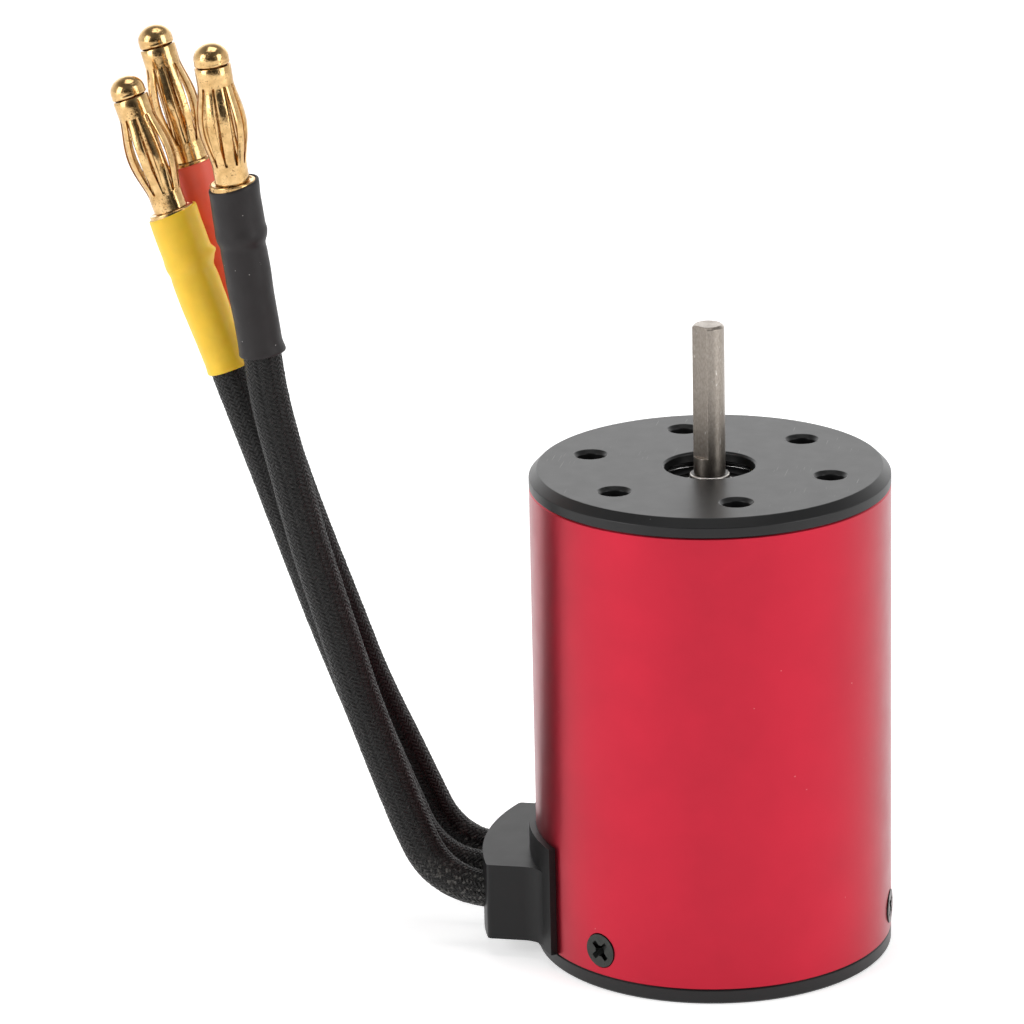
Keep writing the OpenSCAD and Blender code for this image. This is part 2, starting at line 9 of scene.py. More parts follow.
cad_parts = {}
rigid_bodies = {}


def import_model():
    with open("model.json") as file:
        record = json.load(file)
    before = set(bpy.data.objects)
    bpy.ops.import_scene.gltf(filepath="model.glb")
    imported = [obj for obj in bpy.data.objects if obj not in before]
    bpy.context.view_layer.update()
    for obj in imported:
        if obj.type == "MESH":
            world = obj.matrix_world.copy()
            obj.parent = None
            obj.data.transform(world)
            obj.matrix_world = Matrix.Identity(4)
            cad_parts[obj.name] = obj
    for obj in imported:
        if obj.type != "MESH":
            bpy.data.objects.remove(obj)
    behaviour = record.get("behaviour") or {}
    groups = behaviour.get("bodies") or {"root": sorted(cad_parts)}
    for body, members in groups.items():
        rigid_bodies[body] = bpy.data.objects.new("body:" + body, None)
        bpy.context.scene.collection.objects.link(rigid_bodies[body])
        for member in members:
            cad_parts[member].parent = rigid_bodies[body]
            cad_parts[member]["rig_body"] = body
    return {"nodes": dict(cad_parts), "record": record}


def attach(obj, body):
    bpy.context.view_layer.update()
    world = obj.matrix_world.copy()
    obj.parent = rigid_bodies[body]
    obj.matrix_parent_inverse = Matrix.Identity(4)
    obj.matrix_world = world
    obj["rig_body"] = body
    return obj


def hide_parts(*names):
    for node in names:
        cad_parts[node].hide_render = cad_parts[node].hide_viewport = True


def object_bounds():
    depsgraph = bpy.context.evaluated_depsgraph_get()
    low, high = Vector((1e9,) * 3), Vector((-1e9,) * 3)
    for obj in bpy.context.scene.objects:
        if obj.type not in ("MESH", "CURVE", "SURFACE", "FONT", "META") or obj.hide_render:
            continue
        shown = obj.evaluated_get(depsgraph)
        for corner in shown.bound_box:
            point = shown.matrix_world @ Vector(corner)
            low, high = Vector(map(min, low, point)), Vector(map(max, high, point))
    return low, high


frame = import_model()
cad_low, cad_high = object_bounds()

MM = 0.001
ROW_Y = Vector((0, 1, 0))


def mm(*values):
    """Millimetres to metres, as a vector for three values or a number for one."""
    scaled = [v * MM for v in values]
    return scaled[0] if len(scaled) == 1 else Vector(scaled)


def smoothstep(low, high, x):
    t = min(1.0, max(0.0, (x - low) / (high - low)))
    return t * t * (3 - 2 * t)


# ---------------------------------------------------------------- camera
CAMERA_AT = mm(76.72, -475.94, 151.16)
CAMERA_AZIMUTH = 11.5
CAMERA_ELEVATION = 17.904
CAMERA_ROLL = -1.332
CAMERA_LENS = 178.88


def make_camera():
    data = bpy.data.cameras.new("camera")
    data.lens = CAMERA_LENS
    data.sensor_width = 36
    data.clip_start = 0.01
    data.clip_end = 50
    camera = bpy.data.objects.new("camera", data)
    bpy.context.scene.collection.objects.link(camera)
    turn = Matrix.Rotation(math.radians(CAMERA_AZIMUTH), 4, "Z")
    tilt = Matrix.Rotation(math.radians(90 - CAMERA_ELEVATION), 4, "X")
    roll = Matrix.Rotation(math.radians(CAMERA_ROLL), 4, "Z")
    camera.matrix_world = Matrix.Translation(CAMERA_AT) @ turn @ tilt @ roll
    bpy.context.scene.camera = camera


# ---------------------------------------------------------------- materials
NOISE_ROUGHNESS = 0.55


class Nodes:
    """A material's node tree, with short calls for the patterns used here."""

    def __init__(self, name):
        self.material = bpy.data.materials.new(name)
        self.material.use_nodes = True
        self.tree = self.material.node_tree
        self.shader = self.tree.nodes["Principled BSDF"]
        self.object_place = self.add("ShaderNodeTexCoord").outputs["Object"]

    def add(self, kind, **settings):
        node = self.tree.nodes.new(kind)
        for key, value in settings.items():
            setattr(node, key, value)
        return node

    def link(self, output, socket):
        self.tree.links.new(output, socket)

    def set(self, **values):
        """Sets the shader's own sockets; an underscore stands for a space."""
        for key, value in values.items():
            socket = self.shader.inputs[key.replace("_", " ")]
            socket.default_value = (*value, 1) if isinstance(value, (tuple, list)) else value

    def place(self, stretch, turn):
        mapping = self.add("ShaderNodeMapping")
        mapping.inputs["Scale"].default_value = stretch
        mapping.inputs["Rotation"].default_value = [math.radians(a) for a in turn]
        self.link(self.object_place, mapping.inputs["Vector"])
        return mapping.outputs["Vector"]

    def noise(self, size, stretch=(1, 1, 1), detail=3, turn=(0, 0, 0)):
        """Noise whose blobs are about size metres across."""
        node = self.add("ShaderNodeTexNoise")
        node.inputs["Scale"].default_value = 1 / size
        node.inputs["Detail"].default_value = detail
        node.inputs["Roughness"].default_value = NOISE_ROUGHNESS
        self.link(self.place(stretch, turn), node.inputs["Vector"])
        return node.outputs["Fac"]

    def spread(self, value, low, high, to_low=0.0, to_high=1.0):
        node = self.add("ShaderNodeMapRange")
        ends = {"From Min": low, "From Max": high, "To Min": to_low, "To Max": to_high}
        for key, number in ends.items():
            node.inputs[key].default_value = number
        self.link(value, node.inputs["Value"])
        return node.outputs["Result"]

    def math(self, operation, a, b):
        node = self.add("ShaderNodeMath", operation=operation)
        for socket, value in zip(node.inputs, (a, b)):
            if isinstance(value, (int, float)):
                socket.default_value = value
            else:
                self.link(value, socket)
        return node.outputs["Value"]

    def mix(self, share, first, second):
        """A colour between two, each a colour or an output."""
        node = self.add("ShaderNodeMix", data_type="RGBA")
        self.link(share, node.inputs["Factor"])
        sockets = [s for s in node.inputs if s.type == "RGBA"]
        for socket, value in zip(sockets, (first, second)):
            if isinstance(value, (tuple, list)):
                socket.default_value = (*value, 1)
            else:
                self.link(value, socket)
        return [s for s in node.outputs if s.type == "RGBA"][0]

    def colour(self, output):
        self.link(output, self.shader.inputs["Base Color"])

    def roughness(self, output):
        self.link(output, self.shader.inputs["Roughness"])

    def bump(self, height, depth, after=None):
        node = self.add("ShaderNodeBump")
        node.inputs["Strength"].default_value = 1.0
        node.inputs["Distance"].default_value = depth
        self.link(height, node.inputs["Height"])
        if after is not None:
            self.link(after, node.inputs["Normal"])
        self.link(node.outputs["Normal"], self.shader.inputs["Normal"])
        return node.outputs["Normal"]

    def axes(self):
        """X, Y and Z of the object's place."""
        split = self.add("ShaderNodeSeparateXYZ")
        self.link(self.object_place, split.inputs["Vector"])
        return [split.outputs[axis] for axis in "XYZ"]

    def specks(self, size, share):
        """Round dots about size across; share is how much of a cell's width each one takes."""
        cells = self.add("ShaderNodeTexVoronoi")
        cells.inputs["Scale"].default_value = 1 / size
        self.link(self.object_place, cells.inputs["Vector"])
        return self.spread(cells.outputs["Distance"], share * 0.6, share, 1, 0)


def scaled(colour, factor):
    return tuple(min(1.0, c * factor) for c in colour)


def varied(name, colour, rough, metallic=0.0, size=mm(0.8), tint=0.12, sway=0.06,
           grain=mm(0.12), depth=mm(0.004), stretch=(1, 1, 1), **settings):
    """A finish with slow changes of tone, uneven roughness and a fine grain."""
    n = Nodes(name)
    n.set(Metallic=metallic, **settings)
    tone = n.noise(size, stretch)
    n.colour(n.mix(n.spread(tone, 0.3, 0.7), scaled(colour, 1 - tint), scaled(colour, 1 + tint)))
    n.roughness(n.spread(n.noise(size * 0.6, stretch), 0.3, 0.7, rough - sway, rough + sway))
    n.bump(n.noise(grain, stretch, detail=4), depth)
    return n


def red_anodised():
    n = varied("red_anodised", (0.455, 0.0085, 0.0285), 0.35, metallic=1.0, size=mm(6), tint=0.04,
               sway=0.03, grain=mm(0.13), depth=mm(0.0034))
    clean = n.shader.inputs["Base Color"].links[0].from_socket
    n.colour(n.mix(n.specks(mm(3.1), 0.014), clean, (0.80, 0.55, 0.55)))
    turned = n.noise(mm(0.25), (0.08, 0.08, 1.6), detail=3)
    n.bump(turned, mm(0.0020), after=n.shader.inputs["Normal"].links[0].from_socket)
    n.set(Coat_Weight=0.4, Coat_Roughness=0.26, Coat_IOR=1.5, Specular_Tint=(0.70, 0.85, 0.85))
    return n.material


def black_anodised():
    """Satin black with a little dust and a few hairline scratches."""
    n = Nodes("black_anodised")
    base = (0.0105, 0.0105, 0.0108)
    tone = n.noise(mm(3))
    dust = n.specks(mm(2.9), 0.020)
    lines = n.spread(n.noise(mm(1.3), (9, 0.30, 1), detail=0, turn=(0, 0, 38)), 0.745, 0.765)
    lines = n.math("MULTIPLY", lines, n.spread(n.noise(mm(6), detail=0), 0.55, 0.62))
    # only the front face is handled enough to be scratched
    lines = n.math("MULTIPLY", lines, n.spread(n.axes()[2], mm(-0.05), mm(-0.02)))
    marks = n.math("MAXIMUM", dust, n.math("MULTIPLY", lines, 0.4))
    cloudy = n.mix(n.spread(tone, 0.3, 0.7), scaled(base, 0.9), scaled(base, 1.1))
    n.colour(n.mix(marks, cloudy, (0.17, 0.17, 0.17)))
    n.roughness(n.spread(n.noise(mm(2.2)), 0.3, 0.7, 0.355, 0.385))
    n.bump(n.noise(mm(0.12), detail=4), mm(0.003))
    n.set(Specular_IOR_Level=0.30)
    return n.material


def shaft_steel():
    """Ground steel. The grinding runs round the shaft, so highlights spread along it."""
    n = Nodes("shaft_steel")
    n.set(Metallic=1.0, Anisotropic=0.40, Anisotropic_Rotation=0.25)
    around = n.add("ShaderNodeTangent", direction_type="RADIAL", axis="Z")
    n.link(around.outputs["Tangent"], n.shader.inputs["Tangent"])
    streaks = n.noise(mm(0.17), (1, 1, 0.5), detail=3)
    clean = n.mix(n.spread(streaks, 0.35, 0.65), (0.275, 0.243, 0.212), (0.365, 0.324, 0.283))
    nicks = n.spread(n.noise(mm(0.35), (1, 1, 0.35), detail=2), 0.70, 0.76)
    worn = n.mix(nicks, clean, (0.62, 0.58, 0.54))
    # the shoulder in the front opening: painted shade darkens its corner, and a painted highlight
    # brightens its edge
    x, y, z = n.axes()
    radius = n.math("POWER", n.math("ADD", n.math("MULTIPLY", x, x), n.math("MULTIPLY", y, y)), 0.5)
    corner = n.math("MULTIPLY", n.spread(z, mm(-0.78), mm(-0.74), 1, 0),
                    n.spread(radius, mm(1.86), mm(1.90), 1, 0))
    edge = n.math("MULTIPLY", n.spread(z, mm(-1.05), mm(-1.0)), n.spread(radius, mm(1.88), mm(1.92)))
    # painted shade: the shoulder's corner is coloured near-black
    painted_corner_shade = n.mix(corner, worn, (0.030, 0.027, 0.025))
    # painted highlight: a pale ring on the shoulder's edge
    n.colour(n.mix(edge, painted_corner_shade, (0.76, 0.72, 0.68)))
    n.roughness(n.spread(n.noise(mm(0.7)), 0.3, 0.7, 0.31, 0.38))
    grain = n.bump(n.noise(mm(0.10), (0.25, 0.25, 1.6), detail=3), mm(0.0004))
    n.bump(nicks, mm(0.003), after=grain)
    return n.material


def gold_plate():
    """Bright plating, worn and pitted in places, with the brass base showing darker."""
    n = Nodes("gold_plate")
    n.set(Metallic=1.0)
    worn = n.spread(n.noise(mm(0.17), detail=2), 0.55, 0.69)
    patches = n.spread(n.noise(mm(1.3)), 0.47, 0.58)
    pits = n.math("MULTIPLY", worn, patches)
    clean = n.mix(n.spread(n.noise(mm(0.9)), 0.3, 0.7), (0.52, 0.320, 0.130), (0.76, 0.510, 0.240))
    n.colour(n.mix(pits, clean, (0.26, 0.14, 0.05)))
    n.roughness(n.math("ADD", n.spread(n.noise(mm(0.5)), 0.3, 0.7, 0.12, 0.20),
                       n.math("MULTIPLY", pits, 0.25)))
    soft = n.bump(n.noise(mm(0.45), detail=2), mm(0.012))
    n.bump(n.math("SUBTRACT", 1.0, pits), mm(0.012), after=soft)
    return n.material


def braided_sleeve():
    """Ribbons of thin black filaments; the mesh's own coordinates run across and along a ribbon."""
    n = Nodes("braided_sleeve")
    across = n.add("ShaderNodeUVMap", uv_map="ribbon").outputs["UV"]
    split = n.add("ShaderNodeSeparateXYZ")
    n.link(across, split.inputs["Vector"])
    filaments = n.math("SINE", n.math("MULTIPLY", split.outputs["X"], 4 * math.tau), 0)
    tone = n.spread(n.noise(mm(0.30), detail=2), 0.52, 0.74)
    dark = n.mix(tone, (0.0042, 0.0038, 0.0035), (0.021, 0.019, 0.0175))
    # the yarn is scuffed paler at the tight bend by the boot
    bend = n.spread(n.axes()[2], mm(-42.5), mm(-40), 1, 0)
    scuffs = n.math("MULTIPLY", bend, n.spread(n.noise(mm(0.42), detail=1), 0.54, 0.66))
    n.colour(n.mix(scuffs, dark, (0.10, 0.096, 0.088)))
    n.roughness(n.spread(n.noise(mm(0.28), detail=2), 0.35, 0.65, 0.27, 0.56))
    n.set(Specular_IOR_Level=0.33, Sheen_Weight=0.07, Sheen_Roughness=0.13)
    uneven = n.bump(n.noise(mm(0.17), detail=2), mm(0.045))
    n.bump(filaments, mm(0.012), after=uneven)
    return n.material


def heat_shrink(name, colour, rough, dust):
    n = varied(name, colour, rough, size=mm(2.5), tint=0.06, sway=0.05, grain=mm(0.5), depth=mm(0.012))
    n.set(Specular_IOR_Level=0.35)
    if dust:
        clean = n.shader.inputs["Base Color"].links[0].from_socket
        n.colour(n.mix(n.specks(mm(1.05), 0.055), clean, dust))
    else:
        n.set(Subsurface_Weight=0.35, Subsurface_Scale=mm(1.0))
    return n.material


MATERIALS = {
    "red_anodised": red_anodised,
    "black_anodised": black_anodised,
    "shaft_steel": shaft_steel,
    "gold_plate": gold_plate,
    "braided_sleeve": braided_sleeve,
    "black_oxide": lambda: varied(
        "black_oxide", (0.048, 0.051, 0.048), 0.33, metallic=1.0, size=mm(0.5), grain=mm(0.1)).material,
    "boot_plastic": lambda: varied(
        "boot_plastic", (0.0075, 0.0075, 0.0078), 0.43, size=mm(4), tint=0.06, sway=0.015,
        grain=mm(0.09), depth=mm(0.0022), Specular_IOR_Level=0.25).material,
    "seal_rubber": lambda: varied(
        "seal_rubber", (0.018, 0.018, 0.019), 0.55, size=mm(0.8),
        grain=mm(0.1), depth=mm(0.004)).material,
    "lamination_steel": lambda: varied(
        "lamination_steel", (0.33, 0.34, 0.36), 0.35, metallic=1.0, size=mm(1),
        grain=mm(0.35), depth=mm(0.02), stretch=(0.02, 0.02, 1)).material,
    "insulator_plastic": lambda: varied(
        "insulator_plastic", (0.75, 0.72, 0.60), 0.5, size=mm(2)).material,
    "liner_paper": lambda: varied(
        "liner_paper", (0.80, 0.74, 0.52), 0.6, size=mm(0.4), stretch=(1, 1, 0.2)).material,
    "copper_wire": lambda: varied(
        "copper_wire", (0.62, 0.24, 0.09), 0.3, metallic=1.0, size=mm(0.6),
        grain=mm(0.5), depth=mm(0.05), stretch=(1, 1, 0.03)).material,
    "lead_jacket": lambda: varied("lead_jacket", (0.02, 0.02, 0.02), 0.55, size=mm(1)).material,
    "bearing_steel": lambda: varied(
        "bearing_steel", (0.62, 0.61, 0.60), 0.16, metallic=1.0, size=mm(0.6),
        grain=mm(0.2), depth=mm(0.002), stretch=(1, 1, 0.2)).material,
    "cage_brass": lambda: varied(
        "cage_brass", (0.62, 0.44, 0.18), 0.3, metallic=1.0, size=mm(0.5)).material,
    "magnet_coating": lambda: varied(
        "magnet_coating", (0.52, 0.51, 0.50), 0.2, metallic=1.0, size=mm(1.5)).material,
    "sleeve_fibre": lambda: varied(
        "sleeve_fibre", (0.03, 0.03, 0.032), 0.25, size=mm(0.5),
        grain=mm(0.4), depth=mm(0.02), stretch=(0.05, 0.05, 1)).material,
    "brass": lambda: varied(
        "brass", (0.68, 0.49, 0.20), 0.28, metallic=1.0, size=mm(0.8), stretch=(0.2, 0.2, 1)).material,
    "shrink_black": lambda: heat_shrink(
        "shrink_black", (0.0100, 0.0072, 0.0075), 0.50, (0.35, 0.33, 0.32)),
    "shrink_yellow": lambda: heat_shrink("shrink_yellow", (0.86, 0.51, 0.030), 0.42, None),
    "shrink_red": lambda: heat_shrink("shrink_red", (0.82, 0.112, 0.065), 0.42, None),
}
made_materials = {}


def material(slot):
    if slot not in made_materials:
        made_materials[slot] = MATERIALS[slot]()
    return made_materials[slot]


# ---------------------------------------------------------------- mesh helpers
def new_piece(name, points, faces, slots, body="housing", replaces=(), face_slots=None):
    mesh = bpy.data.meshes.new(name)
    mesh.from_pydata([tuple(p) for p in points], [], faces)
    mesh.validate()
    for slot in slots:
        mesh.materials.append(material(slot))
    mesh.shade_smooth()
    if face_slots:
        mesh.polygons.foreach_set("material_index", face_slots)
    piece = bpy.data.objects.new(name, mesh)
    bpy.context.scene.collection.objects.link(piece)
    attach(piece, body)
    if replaces:
        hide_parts(*replaces)
    return piece


def ring_faces(first, second, count):
    """Quads between two closed rings of points that start at these indices."""
    return [(first + k, first + (k + 1) % count, second + (k + 1) % count, second + k)
            for k in range(count)]


EDGE_SEGMENTS = 2
EDGE_ANGLE = 28


def softened(node, width):
    """A copy of a CAD node with its edges broken by a small round, which stands for it."""
    source = frame["nodes"][node]
    body = source["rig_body"]
    slot = next(p["material_slot"] for p in frame["record"]["subparts"] if p["node"] == node)
    work = bmesh.new()
    work.from_mesh(source.data)
    bmesh.ops.remove_doubles(work, verts=work.verts, dist=mm(0.001))
    bmesh.ops.dissolve_limit(work, angle_limit=math.radians(0.4), verts=work.verts, edges=work.edges)
    work.verts.index_update()
    points = [v.co.copy() for v in work.verts]
    faces = [[v.index for v in f.verts] for f in work.faces]
    work.free()
    piece = new_piece(node + "_finished", points, faces, [slot], body, replaces=(node,))
    bevel = piece.modifiers.new("edges", "BEVEL")
    bevel.width = width
    bevel.segments = EDGE_SEGMENTS
    bevel.limit_method = "ANGLE"
    bevel.angle_limit = math.radians(EDGE_ANGLE)
    bevel.harden_normals = True
    bevel.use_clamp_overlap = True
    graph = bpy.context.evaluated_depsgraph_get()
    final = bpy.data.meshes.new_from_object(piece.evaluated_get(graph))
    piece.modifiers.clear()
    piece.data = final
    return piece


# ---------------------------------------------------------------- leads
ROUTES = {
    "black": [
        (-22, -5.4, -44.4), (-22.9, -5.4, -44.4), (-23.9, -5.4, -44.23), (-25.4, -5.4, -43.74),
        (-26.8, -5.4, -42.93), (-27.95, -5.4, -41.88), (-28.8, -5.35, -40.7), (-29.3, -5.35, -39.7),
        (-30.3, -5.3, -37.4), (-31.9, -5.2, -33.3), (-33.5, -5.15, -28.9), (-35, -5.05, -24.7),
        (-36.3, -5, -20.5), (-37.6, -4.9, -16.3), (-38.9, -4.8, -12), (-40.1, -4.75, -7.9),
        (-41.1, -4.7, -3.8), (-42.1, -4.6, 0.3), (-43.1, -4.5, 4.4), (-43.8, -4.5, 8.3),
        (-44.17, -4.5, 11.5), (-45.56, -5.25, 23.55),
    ],
    "yellow": [
        (-22, 0, -44.4), (-23.5, 0, -44.4), (-24.6, 0, -44.36), (-25.7, 0, -44.2), (-27.1, 0, -43.73),
        (-28.5, 0, -42.93), (-29.65, 0, -41.88), (-30.5, 0, -40.7), (-31.05, 0, -39.6),
        (-33, 0, -34.9), (-34.9, 0, -30.2), (-36.7, 0, -25.5), (-38.3, 0, -21.3), (-39.6, 0, -17.8),
        (-41, 0, -13.8), (-42.45, 0, -9.6), (-43.9, 0, -5.4), (-45.3, -0.1, -1.2), (-47.1, -0.2, 3.9),
        (-48.75, -0.2, 8.5), (-52.37, 0.1, 19.25),
    ],
    "red": [
        (-22, 5.4, -44.4), (-23.1, 5.4, -44.4), (-24.8, 5.4, -44.23), (-26.3, 5.4, -43.73),
        (-27.7, 5.4, -42.93), (-28.85, 5.4, -41.88), (-29.7, 5.35, -40.7), (-30.2, 5.35, -39.7),
        (-31.4, 5.3, -37), (-33.3, 5.2, -32.7), (-35.25, 5.1, -28.4), (-37, 5, -24.05),
        (-38.55, 5, -19.7), (-40.1, 5, -15.4), (-41.65, 5, -11.1), (-43.1, 5, -6.9), (-44.8, 5, -1.6),
        (-46.4, 5.1, 3.4), (-47.7, 5.1, 7.6), (-48.73, 5.2, 11.5), (-51.83, 5.5, 22.95),
    ],
}
STEP = mm(0.25)
CURVE_SAMPLES = 24
SMOOTHING_PASSES = 20


class Line:
    """A smooth line through a route's points, cut into even steps."""

    def __init__(self, route):
        points = [mm(*p) for p in route]
        dense = []
        for i in range(len(points) - 1):
            before = points[i - 1] if i else 2 * points[0] - points[1]
            after = points[i + 2] if i + 2 < len(points) else 2 * points[-1] - points[-2]
            dense += [self.curve(before, points[i], points[i + 1], after, k / CURVE_SAMPLES)
                      for k in range(CURVE_SAMPLES)]
        dense.append(points[-1])
        self.points = self.even(dense)
        for _ in range(SMOOTHING_PASSES):
            inner = [(a + 2 * b + c) / 4
                     for a, b, c in zip(self.points, self.points[1:], self.points[2:])]
            self.points = [self.points[0], *inner, self.points[-1]]
        self.points = self.even(self.points)
        self.length = sum((b - a).length for a, b in zip(self.points, self.points[1:]))
        self.step = self.length / (len(self.points) - 1)

    @staticmethod
    def curve(a, b, c, d, t):
        return 0.5 * (2 * b + (c - a) * t + (2 * a - 5 * b + 4 * c - d) * t * t
                      + (3 * b - a - 3 * c + d) * t ** 3)

    @staticmethod
    def even(points):
        total = sum((b - a).length for a, b in zip(points, points[1:]))
        count = round(total / STEP)
        made, walked, i = [points[0]], 0.0, 0
        for k in range(1, count):
            want = total * k / count
            while walked + (points[i + 1] - points[i]).length < want:
                walked += (points[i + 1] - points[i]).length
                i += 1
            leg = points[i + 1] - points[i]
            made.append(points[i] + leg * ((want - walked) / leg.length))
        return made + [points[-1]]

    def at(self, s):
        """Place and two cross directions at distance s along the line."""
        i = min(len(self.points) - 2, int(s / self.step))
        a, b = self.points[i], self.points[i + 1]
        before = self.points[max(0, i - 1)]
        after = self.points[min(len(self.points) - 1, i + 2)]
        share = s / self.step - i
        aim = ((b - before).lerp(after - a, share)).normalized()
        side = aim.cross(ROW_Y).normalized()
        return a.lerp(b, share), side, aim.cross(side), aim


def lead_radius(s, sleeve_from):
    """Half the braid's width: tight in the boot, fuller past the bend, tight again under the shrink."""
    out = smoothstep(mm(1.5), mm(9), s)
    closing = smoothstep(sleeve_from - mm(9), sleeve_from, s)
    return mm(1.86) + mm(0.15) * out - mm(0.07) * closing


BRAID_CARRIERS = 24
BRAID_PITCH = mm(11.2)
RIBBON_W = mm(0.36)
RIBBON_T = mm(0.05)
RIBBON_LIFT = mm(0.034)
RIBBON_PLATEAU = 1.4  # over 1 flattens the tops of the over-and-under wave
STRAY_LIFT = mm(0.016)
STRAY_ANGLE = 0.035
RIBBON_SECTION = ((-0.5, 0), (0, 1), (0.5, 0), (0, -0.6))  # in widths across and thicknesses out
STATIONS_PER_CROSSING = 1.5
HIDDEN_STATIONS = 16  # in the heat-shrink, where the braid isn't seen
SLEEVE_OVERLAP = mm(2)  # how far the fine stations run on inside the heat-shrink
JACKET_SIDES = 24
JACKET_RINGS = 160
JACKET_INSET = mm(0.16)


def last_leg(colour):
    """Length of the straight end of a route, which the heat-shrink covers."""
    return (mm(*ROUTES[colour][-1]) - mm(*ROUTES[colour][-2])).length


def braided_lead(colour):
    """The lead's two sets of braid ribbons and its jacket, and the path that it follows."""
    line = Line(ROUTES[colour])
    sleeve_from = line.length - last_leg(colour)
    end = sleeve_from + SLEEVE_OVERLAP
    crossing = BRAID_PITCH / (2 * BRAID_CARRIERS)
    fine = int(end / crossing * STATIONS_PER_CROSSING)
    stops = [end * k / fine for k in range(fine)]
    stops += [end + (line.length - end) * k / HIDDEN_STATIONS for k in range(HIDDEN_STATIONS + 1)]
    samples = len(stops) - 1
    stations = [(s, *line.at(s)) for s in stops]
    points, faces = [], []
    for hand in (1, -1):
        for carrier in range(BRAID_CARRIERS):
            start = len(points)
            for s, place, side, up, aim in stations:
                angle = math.tau * (carrier / BRAID_CARRIERS + hand * s / BRAID_PITCH)
                radius = lead_radius(s, sleeve_from)
                # two over, two under: the place in the four-crossing repeat sets the height
                repeat = math.pi / 2 * (2 * carrier + hand * s / crossing)
                lift = hand * math.sin(repeat + math.pi / 4) * RIBBON_PLATEAU
                lift = max(-1.0, min(1.0, lift)) * RIBBON_LIFT
                # no two yarns lie quite alike
                stray = noise.noise(Vector((carrier * 3.7 + hand * 91, s / mm(1.3), 5.0)))
                sway = noise.noise(Vector((carrier * 5.3 - hand * 47, s / mm(2.1), 9.0)))
                angle += STRAY_ANGLE * sway
                lift = lift * (0.75 + 0.6 * stray) + STRAY_LIFT * stray
                out = side * math.cos(angle) + up * math.sin(angle)
                around = up * math.cos(angle) - side * math.sin(angle)
                lean = math.tau * radius / BRAID_PITCH
                run = (aim + around * hand * lean).normalized()
                cross = run.cross(out)
                middle = place + out * (radius - RIBBON_LIFT - RIBBON_T + lift)
                for u, v in RIBBON_SECTION:
                    points.append(middle + cross * (u * RIBBON_W) + out * (v * RIBBON_T))
            for k in range(samples):
                a = start + 4 * k
                faces += ring_faces(a, a + 4, 4)
            faces.append((start, start + 1, start + 2, start + 3)[::-1])
            tail = start + 4 * samples
            faces.append((tail, tail + 1, tail + 2, tail + 3))
    ribbon_faces = len(faces)
    tube_from = len(points)
    for k in range(JACKET_RINGS + 1):
        s = line.length * k / JACKET_RINGS
        place, side, up, aim = line.at(s)
        radius = lead_radius(s, sleeve_from) - JACKET_INSET
        for j in range(JACKET_SIDES):
            a = math.tau * j / JACKET_SIDES
            points.append(place + (side * math.cos(a) + up * math.sin(a)) * radius)
    for k in range(JACKET_RINGS):
        ring = tube_from + JACKET_SIDES * k
        faces += ring_faces(ring, ring + JACKET_SIDES, JACKET_SIDES)
    faces.append(tuple(tube_from + j for j in range(JACKET_SIDES))[::-1])
    faces.append(tuple(tube_from + JACKET_SIDES * JACKET_RINGS + j for j in range(JACKET_SIDES)))
    slots = [0] * ribbon_faces + [1] * (len(faces) - ribbon_faces)
    piece = new_piece(f"lead_{colour}_braid", points, faces, ["braided_sleeve", "lead_jacket"],
                      replaces=(f"lead_{colour}",), face_slots=slots)
    ribbon = piece.data.uv_layers.new(name="ribbon")
    u_of = (0.0, 0.5, 1.0, 0.5)
    values = []
    for loop in piece.data.loops:
        i = loop.vertex_index
        values += (u_of[i % 4], i / 4 * 0.01) if i < tube_from else (0.5, 0.0)
    ribbon.data.foreach_set("uv", values)
    path = [tuple(p) for p in line.points[::4]] + [tuple(line.points[-1])]
    return piece, path


# ---------------------------------------------------------------- heat-shrink and connectors
# heights and radii here are in millimetres above the mouth of the solder cup
SLEEVE_TOP = 5.2
SLEEVE_WALL = 0.29
SLEEVE_STEPS = 74
SLEEVE_SIDES = 64
SLEEVE_SHAPES = {  # seed, flare, pinch, fullness, lean, lean_turn
    "black": (3.0, 0.14, 0.05, 0.08, 0.30, 0.5),
    "yellow": (11.0, 0.30, 0.31, 0.22, 0.16, 0.3),
    "red": (23.0, 0.05, 0.05, 0.05, 0.10, 0.2),
}
PIN_SIDES = 64
SPRING_TURNS = {"black": 0.1, "yellow": 0.25, "red": 0.4}


def swell(x, centre, width):
    return math.exp(-((x - centre) / width) ** 2)


def end_frame(colour):
    """Matrix whose origin is the mouth of the solder cup, with +Z along the lead's last leg."""
    tip, before = mm(*ROUTES[colour][-1]), mm(*ROUTES[colour][-2])
    aim = (tip - before).normalized()
    side = ROW_Y.cross(aim).normalized()
    up = aim.cross(side)
    basis = Matrix((side, up, aim)).transposed().to_4x4()
    return Matrix.Translation(tip) @ basis


def lathe(profile, count, wobble=None, closed=True):
    """Points and faces of a profile of (radius, height) turned about Z. wobble(radius, height, angle)
    gives a change of radius."""
    points, faces = [], []
    for r, z in profile:
        for k in range(count):
            a = math.tau * k / count
            rr = r + (wobble(r, z, a) if wobble else 0)
            points.append(Vector((rr * math.cos(a), rr * math.sin(a), z)))
    rows = len(profile)
    for i in range(rows if closed else rows - 1):
        faces += ring_faces(i * count, (i + 1) % rows * count, count)
    return points, faces


def bead(r_centre, z_centre, radius, start, stop, count):
    """Points of an arc in a profile, angles in degrees from +r towards +z."""
    return [(r_centre + radius * math.cos(math.radians(start + (stop - start) * k / count)),
             z_centre + radius * math.sin(math.radians(start + (stop - start) * k / count)))
            for k in range(count + 1)]


